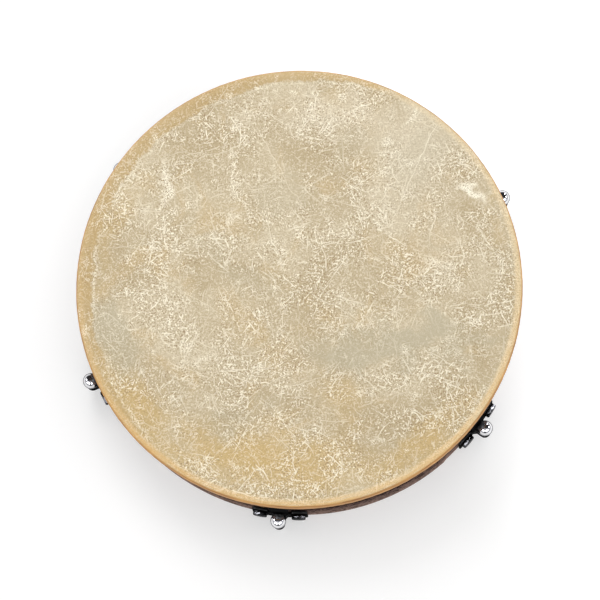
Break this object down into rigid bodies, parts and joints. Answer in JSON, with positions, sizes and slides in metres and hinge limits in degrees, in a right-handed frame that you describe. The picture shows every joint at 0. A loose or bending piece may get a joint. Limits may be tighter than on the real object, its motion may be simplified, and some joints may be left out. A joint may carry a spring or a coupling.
{
  "type": "bodhran",
  "caption": "Shallow round frame drum with one fibre-textured head, a dark laminated shell, outside tuning bolts in bolted lug brackets and a wooden crossbar across the open back.",
  "frame": {"origin": "centre of the shell's open edge, on the plane the drum rests on", "axes": "+Z along the drum's axis from the open back to the playing head; +X and +Y across it, with the first tuning station 26.7 degrees round from +X towards +Y"},
  "size_m": [0.4068, 0.4296, 0.089],
  "materials": {
    "film": "satin, fibre texture",
    "laminate": "mottled satin laminate",
    "black_coat": "satin black",
    "bright_chrome": "polished",
    "plain_steel": "zinc plated",
    "bar_wood": "oiled"
  },
  "bodies": {
    "frame": {"shell": "laminate", "crossbar": "bar_wood", "crossbar_screw_1": "plain_steel", "crossbar_screw_2": "plain_steel", "lug_bracket_1": "black_coat", "lug_insert_1": "plain_steel", "bracket_bolt_1a": "black_coat", "bracket_bolt_1b": "black_coat", "bracket_nut_1a": "plain_steel", "bracket_nut_1b": "plain_steel", "lug_bracket_2": "black_coat", "lug_insert_2": "plain_steel", "bracket_bolt_2a": "black_coat", "bracket_bolt_2b": "black_coat", "bracket_nut_2a": "plain_steel", "bracket_nut_2b": "plain_steel", "lug_bracket_3": "black_coat", "lug_insert_3": "plain_steel", "bracket_bolt_3a": "black_coat", "bracket_bolt_3b": "black_coat", "bracket_nut_3a": "plain_steel", "bracket_nut_3b": "plain_steel", "lug_bracket_4": "black_coat", "lug_insert_4": "plain_steel", "bracket_bolt_4a": "black_coat", "bracket_bolt_4b": "black_coat", "bracket_nut_4a": "plain_steel", "bracket_nut_4b": "plain_steel", "lug_bracket_5": "black_coat", "lug_insert_5": "plain_steel", "bracket_bolt_5a": "black_coat", "bracket_bolt_5b": "black_coat", "bracket_nut_5a": "plain_steel", "bracket_nut_5b": "plain_steel", "lug_bracket_6": "black_coat", "lug_insert_6": "plain_steel", "bracket_bolt_6a": "black_coat", "bracket_bolt_6b": "black_coat", "bracket_nut_6a": "plain_steel", "bracket_nut_6b": "plain_steel"},
    "head": {"head_film": "film", "flesh_hoop": "plain_steel", "tuning_ring": "black_coat", "tension_washer_1": "plain_steel", "tension_washer_2": "plain_steel", "tension_washer_3": "plain_steel", "tension_washer_4": "plain_steel", "tension_washer_5": "plain_steel", "tension_washer_6": "plain_steel"},
    "bolt_1": {"tension_bolt_1": "bright_chrome"},
    "bolt_2": {"tension_bolt_2": "bright_chrome"},
    "bolt_3": {"tension_bolt_3": "bright_chrome"},
    "bolt_4": {"tension_bolt_4": "bright_chrome"},
    "bolt_5": {"tension_bolt_5": "bright_chrome"},
    "bolt_6": {"tension_bolt_6": "bright_chrome"}
  },
  "joints": [
    {"name": "head_lift", "type": "slide", "parent": "frame", "child": "head", "axis": [0, 0, 1], "range_m": [0, 0.005]},
    {"name": "bolt_1_turn", "type": "hinge", "parent": "head", "child": "bolt_1", "pos_m": [0.18645, 0.09377, 0.03], "axis": [0, 0, 1], "range_deg": [0, 1802]},
    {"name": "bolt_2_turn", "type": "hinge", "parent": "head", "child": "bolt_2", "pos_m": [0.02182, 0.20756, 0.03], "axis": [0, 0, 1], "range_deg": [0, 1802]},
    {"name": "bolt_3_turn", "type": "hinge", "parent": "head", "child": "bolt_3", "pos_m": [-0.16884, 0.12267, 0.03], "axis": [0, 0, 1], "range_deg": [0, 1802]},
    {"name": "bolt_4_turn", "type": "hinge", "parent": "head", "child": "bolt_4", "pos_m": [-0.19378, -0.0775, 0.03], "axis": [0, 0, 1], "range_deg": [0, 1802]},
    {"name": "bolt_5_turn", "type": "hinge", "parent": "head", "child": "bolt_5", "pos_m": [-0.02, -0.20774, 0.03], "axis": [0, 0, 1], "range_deg": [0, 1802]},
    {"name": "bolt_6_turn", "type": "hinge", "parent": "head", "child": "bolt_6", "pos_m": [0.16884, -0.12267, 0.03], "axis": [0, 0, 1], "range_deg": [0, 1802]}
  ],
  "couplings": [
    {"joint": "bolt_1_turn", "follows": "head_lift", "rad_per_m": 6283.2},
    {"joint": "bolt_2_turn", "follows": "head_lift", "rad_per_m": 6283.2},
    {"joint": "bolt_3_turn", "follows": "head_lift", "rad_per_m": 6283.2},
    {"joint": "bolt_4_turn", "follows": "head_lift", "rad_per_m": 6283.2},
    {"joint": "bolt_5_turn", "follows": "head_lift", "rad_per_m": 6283.2},
    {"joint": "bolt_6_turn", "follows": "head_lift", "rad_per_m": 6283.2}
  ]
}
